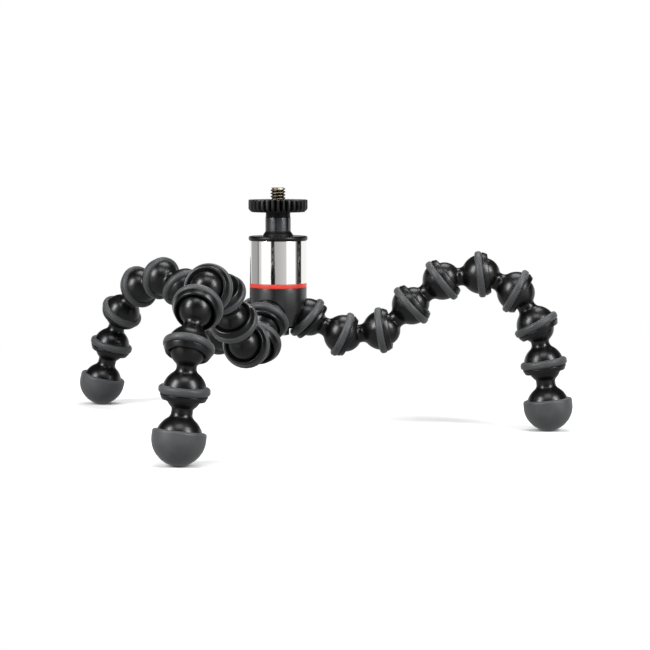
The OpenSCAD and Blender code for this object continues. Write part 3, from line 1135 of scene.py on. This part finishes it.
@dataclass
class BallHead:
    """The ball head: sleeve, collar and ball stem. Sizes are in millimetres."""

    sleeve_r: float = 11.9
    sleeve_bore: float = 10.7
    sleeve_top: float = -17.0
    sleeve_bottom: float = -34.74
    sleeve_floor: float = 2.0
    sleeve_edge: float = 0.15
    bolt_r: float = 2.56
    collar_r: float = 12.3
    collar_top: float = -15.1
    collar_edge: float = 0.75
    collar_weld: float = 0.02
    collar_cut_edge: float = 0.1
    spigot_r: float = 10.65
    spigot_len: float = 3.0
    ball_z: float = -18.2
    ball_r: float = 7.2
    socket_r: float = 7.32
    stem_r: float = 5.3
    stem_fillet: float = 0.5
    stem_top: float = -5.26
    stem_edge: float = 0.25
    stem_around: int = 96
    neck_r: float = 5.1
    neck_len: float = 2.0
    bore_r: float = 2.96
    bore_end: float = -10.32
    notch_r: float = 5.9
    notch_top: float = -8.0
    notch_depth: float = 24.0
    notch_steps: int = 24
    around: int = 160

    def notch_tool(self) -> Piece:
        """Builds the solid that cuts the slot at the back of the head."""
        outline = Outline()
        for i in range(self.notch_steps + 1):
            angle = math.radians(180 + 180 * i / self.notch_steps)
            across = self.notch_r * math.cos(angle)
            outline.points.append((across, self.ball_z + self.notch_r * math.sin(angle)))
        outline.line((self.notch_r, self.notch_top), (-self.notch_r, self.notch_top))
        return Bench.plate("notch_tool", outline.closed(), self.notch_depth)

    def sleeve_outline(self) -> Outline:
        """Draws the sleeve as a cup with a hole in its floor."""
        low = self.sleeve_bottom
        floor = low + self.sleeve_floor
        outline = Outline().line((self.bolt_r, low), (self.sleeve_r, low))
        outline.line((self.sleeve_r, self.sleeve_top), (self.sleeve_bore, self.sleeve_top))
        return outline.line((self.sleeve_bore, floor), (self.bolt_r, floor)).closed()

    def collar_outline(self) -> Outline:
        """Draws the collar with its round rim and the spigot inside the sleeve."""
        edge = self.collar_edge
        edge_r = self.collar_r - edge
        low = self.sleeve_top - self.spigot_len
        top_angle = math.degrees(math.asin((self.collar_top - self.ball_z) / self.socket_r))
        outline = Outline().line((self.socket_r, low), (self.spigot_r, low))
        outline.line((self.spigot_r, self.sleeve_top))
        outline.arc((edge_r, self.sleeve_top + edge), edge, -90, 0, 6)
        outline.arc((edge_r, self.collar_top - edge), edge, 0, 90, 6)
        return outline.arc((0, self.ball_z), self.socket_r, top_angle, 0, 8).closed()

    def stem_outline(self) -> Outline:
        """Draws the ball with its stem, the narrow neck and the screw's bore."""
        side, reach, touch = blend_place(self.ball_r, self.stem_r, self.stem_fillet)
        shoulder = self.stem_top - self.neck_len
        edge = self.stem_edge
        outline = Outline().arc((0, self.ball_z), self.ball_r, -90, touch, 28)
        outline.arc((side, self.ball_z + reach), self.stem_fillet, touch + 180, 180, 5)
        outline.arc((self.stem_r - edge, shoulder - edge), edge, 0, 90, 4)
        outline.line((self.neck_r, shoulder), (self.neck_r, self.stem_top))
        outline.line((self.bore_r, self.stem_top), (self.bore_r, self.bore_end))
        return outline.line((0.0, self.bore_end))

    def build(self) -> None:
        """Builds the head's pieces and dresses the ones inside."""
        sleeve = Bench.turn("head_tube", self.sleeve_outline(), self.around)
        Bench.combine(sleeve, self.notch_tool(), Cut.AWAY)
        Bench.soften(sleeve, self.sleeve_edge, clamp=True)
        fit(sleeve, Palette.SLEEVE, "head", "head_sleeve")
        collar = Bench.turn("head_rim", self.collar_outline(), self.around)
        Bench.combine(collar, self.notch_tool(), Cut.AWAY)
        Bench.weld(collar, self.collar_weld)
        Bench.soften(collar, self.collar_cut_edge)
        fit(collar, Palette.COLLAR, "head", "head_collar")
        stem = Bench.turn("head_stem", self.stem_outline(), self.stem_around)
        Bench.smooth(stem)
        fit(stem, Palette.STEM, "stem", "ball_stem")
        dress_node("ball_seat", Palette.SEAT)
        dress_node("seat_pad", Palette.PAD)


@dataclass
class LockWheel:
    """The knurled wheel that the camera seats on. Sizes are in millimetres."""

    radius: float = 12.3
    height: float = 5.2
    bevel: float = 1.2
    bevel_rise: float = 0.1
    bevel_shoulder: Point = (0.25, 0.15)
    bevel_end: float = 0.3
    top_edge: float = 0.4
    rib_top: float = 1.6
    flat_inset: float = 1.7
    flat_step: float = 0.4
    bore_r: float = 2.95
    sink_r: float = 3.475
    sink_depth: float = 0.5
    ribs: int = 32
    faces_per_rib: int = 8
    groove_depth: float = 0.85
    groove_reach: float = 0.8
    groove_shares: tuple[tuple[int, float], ...] = (
        (0, 1.0), (1, 0.9), (-1, 0.9), (2, 0.45), (-2, 0.45),
    )
    smooth_angle: float = 40.0

    def outline(self) -> Outline:
        """Draws the wheel before its ribs are cut."""
        low = -self.height
        flat_r = self.radius - self.flat_inset
        edge = self.top_edge
        inset, drop = self.bevel_shoulder
        outline = Outline().line((self.bore_r, low), (flat_r - self.flat_step, low), (flat_r, low))
        outline.line((self.radius - self.bevel, low + self.bevel_rise))
        outline.line((self.radius - inset, low + self.bevel - drop))
        outline.line((self.radius, low + self.bevel + self.bevel_end))
        outline.line((self.radius, -edge - self.rib_top))
        outline.arc((self.radius - edge, -edge), edge, 0, 90, 4)
        outline.line((flat_r, 0.0), (self.sink_r, 0.0), (self.sink_r, -self.sink_depth))
        return outline.line((self.bore_r, -self.sink_depth)).closed()

    def press_grooves(self, wheel: Piece, offset: int, depth: float) -> None:
        """Draws points of the rim inward in every groove.

        Args:
            wheel: The wheel.
            offset: Which point of each rib's points to move.
            depth: How far they move in millimetres.
        """
        Bench.alone(wheel)
        step = 2 * math.pi / (self.ribs * self.faces_per_rib)
        rim_r = (self.radius - self.groove_reach) * MM
        wanted = offset % self.faces_per_rib
        for vertex in wheel.data.vertices:
            x, y = vertex.co.x, vertex.co.y
            number = round(math.atan2(y, x) / step) % self.faces_per_rib
            vertex.select = math.hypot(x, y) > rim_r and number == wanted
        bpy.ops.object.mode_set(mode="EDIT")
        bpy.ops.mesh.select_mode(type="VERT")
        bpy.ops.object.mode_set(mode="OBJECT")
        bpy.ops.object.mode_set(mode="EDIT")
        ratio = 1 - depth / self.radius
        bpy.ops.transform.resize(value=(ratio, ratio, 1), center_override=(0, 0, 0))
        bpy.ops.object.mode_set(mode="OBJECT")

    def build(self) -> None:
        """Builds the wheel and presses its grooves."""
        wheel = Bench.turn("knurled_wheel", self.outline(), self.ribs * self.faces_per_rib)
        Bench.edit(wheel)
        bpy.ops.mesh.select_all(action="DESELECT")
        bpy.ops.object.mode_set(mode="OBJECT")
        for offset, share in self.groove_shares:
            self.press_grooves(wheel, offset, self.groove_depth * share)
        Bench.smooth(wheel, self.smooth_angle)
        fit(wheel, Palette.WHEEL, "wheel", "lock_wheel")


@dataclass
class CameraScrew:
    """The threaded camera screw. Sizes are in millimetres."""

    crest_r: float = 3.175
    crest_edge: float = 0.03
    root_r: float = 2.49
    pitch: float = 1.27
    run_in: float = 1.1
    turns: int = 7
    height: float = 5.0
    tip: float = 0.6
    tip_around: int = 96
    trim: float = 0.2
    trim_start: float = -1.0
    thread_start: float = -0.15
    shank_r: float = 2.9
    shank_end: float = -10.26
    shank_edge: float = 0.3
    weld: float = 0.004
    smooth_angle: float = 30.0
    around: int = 64

    def section(self) -> list[Point]:
        """Draws one turn of the thread, from root over crest to root."""
        start = -self.pitch * self.run_in
        root, edge, crest = self.root_r, self.crest_r - self.crest_edge, self.crest_r
        shares = (
            (root, 0.0), (root, 0.22), (edge, 0.53), (crest, 0.57),
            (crest, 0.65), (edge, 0.69), (root, 1.0),
        )
        return [(radius, start + self.pitch * share) for radius, share in shares]

    def thread(self) -> Piece:
        """Winds one turn's section upward and trims the thread to its height."""
        piece = Bench.draw("screw_thread", self.section())
        Bench.modify(
            piece,
            "SCREW",
            axis="Z",
            angle=2 * math.pi,
            screw_offset=self.pitch * MM,
            iterations=self.turns,
            steps=self.around,
            render_steps=self.around,
        )
        Bench.edit(piece)
        bpy.ops.mesh.remove_doubles(threshold=DOUBLED_POINT * MM)
        for height, below in ((self.thread_start, True), (self.height, False)):
            bpy.ops.mesh.select_all(action="SELECT")
            bpy.ops.mesh.bisect(
                plane_co=(0, 0, height * MM),
                plane_no=(0, 0, 1),
                clear_inner=below,
                clear_outer=not below,
            )
        bpy.ops.mesh.select_all(action="SELECT")
        bpy.ops.mesh.fill_holes(sides=0)
        Bench.close()
        return piece

    def tip_tool(self) -> Piece:
        """Builds the plain stud whose chamfer trims the thread's tip."""
        wide = self.crest_r + self.trim
        outline = Outline().line((0, self.trim_start), (wide, self.trim_start))
        outline.line((wide, self.height - self.tip - self.trim))
        outline.line((self.crest_r - self.tip, self.height), (0, self.height))
        return Bench.turn("tip_tool", outline, self.tip_around)

    def shank_outline(self) -> Outline:
        """Draws the plain shank below the thread, with a broken edge at its end."""
        edge = self.shank_edge
        outline = Outline().line((0, self.shank_end), (self.shank_r - edge, self.shank_end))
        outline.line((self.shank_r, self.shank_end + edge), (self.shank_r, 0.0))
        return outline.line((0, 0.0))

    def build(self) -> None:
        """Builds the thread, trims its tip and adds the plain shank below."""
        thread = self.thread()
        Bench.combine(thread, self.tip_tool(), Cut.COMMON)
        shank = Bench.turn("camera_stud", self.shank_outline(), self.around)
        Bench.combine(shank, thread, Cut.JOIN)
        Bench.weld(shank, self.weld)
        Bench.smooth(shank, self.smooth_angle)
        fit(shank, Palette.SCREW, "wheel", "camera_screw")


@dataclass(frozen=True)
class SoftLamp:
    """A soft lamp, with angles from the camera's side in degrees, metres and watts."""

    name: str
    azimuth: float
    elevation: float
    width: float
    height: float
    power: float


@dataclass
class Studio:
    """Floor, light and camera. Lengths are in metres and angles in degrees."""

    lens: float = 114.09
    sensor: float = 36.0
    clip: Point = (0.01, 50.0)
    camera_place: Triple = (-0.0852, -0.854, 0.0176)
    camera_side: float = 0.1219
    camera_turn: float = 7.0
    camera_pitch: float = 4.66
    floor_size: float = 12.0
    floor_fade: Point = (0.12, 0.4)
    floor_seen: float = 0.93
    floor_bounce: float = 0.4
    floor_mirrored: float = 0.45
    lamp_distance: float = 0.95
    lamp_aim: Triple = (0, 0, -0.05)
    lamps: tuple[SoftLamp, ...] = (
        SoftLamp("left_box", -55.0, 32.0, 0.28, 0.55, 9.0),
        SoftLamp("right_box", 53.0, 32.0, 0.28, 0.55, 8.0),
        SoftLamp("top_box", 160.0, 68.0, 0.5, 0.5, 4.0),
        SoftLamp("front_box", 4.0, 62.0, 0.5, 0.3, 2.5),
    )
    # Angle to the right of the camera's side, and how bright the wall is there.
    walls: tuple[Point, ...] = (
        (-180, 1.0), (-138, 1.0), (-134, 0.42), (-90, 0.36), (-88, 0.12), (-84, 0.2), (-82, 0.6),
        (-72, 0.7), (-68, 1.1), (-29, 1.1), (-26, 0.03), (-15, 0.03), (-12, 0.42), (33, 0.6),
        (37, 1.1), (74, 1.1), (78, 0.3), (83, 0.2), (86, 0.01), (106, 0.01), (110, 0.95),
        (180, 1.0),
    )
    wall_fade: Point = (0.1, 0.3)
    ceiling: float = 0.05
    fill_span: Point = (-0.3, 0.6)
    fill: Point = (0.04, 0.26)

    def camera(self) -> None:
        """Sets the camera at the photograph's place."""
        data = bpy.data.cameras.new("camera")
        camera = bpy.data.objects.new("camera", data)
        bpy.context.scene.collection.objects.link(camera)
        data.sensor_width = self.sensor
        data.lens = self.lens
        data.clip_start, data.clip_end = self.clip
        pitch = math.radians(self.camera_pitch)
        ahead = math.sqrt(1 - self.camera_side**2)
        level = math.cos(pitch)
        look = Vector((self.camera_side * level, ahead * level, -math.sin(pitch)))
        camera.location = self.camera_place
        camera.rotation_mode = "QUATERNION"
        camera.rotation_quaternion = look.to_track_quat("-Z", "Y")
        bpy.context.scene.camera = camera

    def hang(self, lamp: SoftLamp) -> None:
        """Hangs a soft lamp that points at the tripod."""
        data = bpy.data.lights.new(lamp.name, "AREA")
        data.shape = "RECTANGLE"
        data.size, data.size_y = lamp.width, lamp.height
        data.energy = lamp.power
        hung = bpy.data.objects.new(lamp.name, data)
        bpy.context.scene.collection.objects.link(hung)
        around, up = math.radians(lamp.azimuth - self.camera_turn), math.radians(lamp.elevation)
        level = math.cos(up)
        away = Vector((math.sin(around) * level, -math.cos(around) * level, math.sin(up)))
        hung.location = Vector(self.lamp_aim) + away * self.lamp_distance
        hung.rotation_mode = "QUATERNION"
        hung.rotation_quaternion = (-away).to_track_quat("-Z", "Y")

    def floor(self) -> None:
        """Lays a plain pale floor that turns white far from the tripod."""
        Bench.clear()
        bpy.ops.mesh.primitive_plane_add(size=self.floor_size, location=(0, 0, CAD_BOX[0].z))
        floor = bpy.context.object
        floor.name = "floor"
        material = bpy.data.materials.new("pale_floor")
        wires = Wiring.fresh(material)
        path = wires.node("ShaderNodeLightPath").outputs
        shade = wires.span(path["Is Diffuse Ray"], 0.0, 1.0, self.floor_seen, self.floor_bounce)
        grey = wires.node("ShaderNodeCombineColor", Red=shade, Green=shade, Blue=shade)
        paper = wires.node("ShaderNodeBsdfDiffuse", Color=grey.outputs[0])
        white = wires.node("ShaderNodeEmission", Color=WHITE, Strength=1.0)
        dim = wires.node("ShaderNodeEmission", Color=WHITE, Strength=self.floor_mirrored)
        clear = wires.node("ShaderNodeBsdfTransparent")
        place = wires.node("ShaderNodeTexCoord").outputs["Object"]
        far = wires.span(wires.length(place), *self.floor_fade)
        seen = wires.blend(wires.times(far, path["Is Camera Ray"]), paper, white)
        mirrored = wires.blend(far, dim, clear)
        surface = wires.blend(path["Is Glossy Ray"], seen, mirrored)
        wires.feed(wires.node("ShaderNodeOutputMaterial").inputs["Surface"], surface.outputs[0])
        floor.data.materials.append(material)

    def world(self) -> None:
        """Surrounds the tripod with pale walls that have gaps between them and a dim ceiling."""
        world = bpy.data.worlds.new("studio")
        bpy.context.scene.world = world
        wires = Wiring.fresh(world)
        way = wires.node("ShaderNodeTexCoord").outputs["Generated"]
        turned = wires.node("ShaderNodeVectorRotate", Vector=way)
        turned.rotation_type = "Z_AXIS"
        turned.inputs["Angle"].default_value = math.radians(self.camera_turn)
        across, along, up = wires.node("ShaderNodeSeparateXYZ", Vector=turned.outputs[0]).outputs
        around = wires.math("ARCTAN2", across, wires.times(along, -1.0))
        share = wires.math("ADD", wires.math("DIVIDE", around, 2 * math.pi), 0.5)
        ramp = wires.node("ShaderNodeValToRGB", Fac=share)
        stops = ramp.color_ramp.elements
        while len(stops) < len(self.walls):
            stops.new(0.5)
        for stop, (degrees, level) in zip(stops, self.walls):
            stop.position = degrees / 360 + 0.5
            stop.color = (level, level, level, 1)
        height = wires.span(up, *self.wall_fade, 1.0, self.ceiling)
        lit = wires.node("ShaderNodeBackground", Color=ramp.outputs[0], Strength=height)
        fill = wires.span(up, *self.fill_span, *self.fill)
        soft = wires.node("ShaderNodeBackground", Color=WHITE, Strength=fill)
        white = wires.node("ShaderNodeBackground", Color=WHITE, Strength=1.0)
        path = wires.node("ShaderNodeLightPath").outputs
        inner = wires.blend(path["Is Glossy Ray"], soft, lit)
        outer = wires.blend(path["Is Camera Ray"], inner, white)
        wires.feed(wires.node("ShaderNodeOutputWorld").inputs["Surface"], outer.outputs[0])

    def build(self) -> None:
        """Sets up the floor, the walls, the lamps and the camera."""
        bpy.context.scene.view_settings.view_transform = "Standard"
        self.floor()
        self.world()
        for lamp in self.lamps:
            self.hang(lamp)
        self.camera()
        log.info("studio: floor at %.4f m", CAD_BOX[0].z)


def main() -> None:
    """Builds the tripod piece by piece, then the studio around it."""
    logging.basicConfig(level=logging.INFO, format="%(name)s %(message)s", stream=sys.stdout)
    for assembly in (Hub(), BallHead(), LockWheel(), CameraScrew(), LegSet(), Studio()):
        assembly.build()


if __name__ == "__main__":
    main()
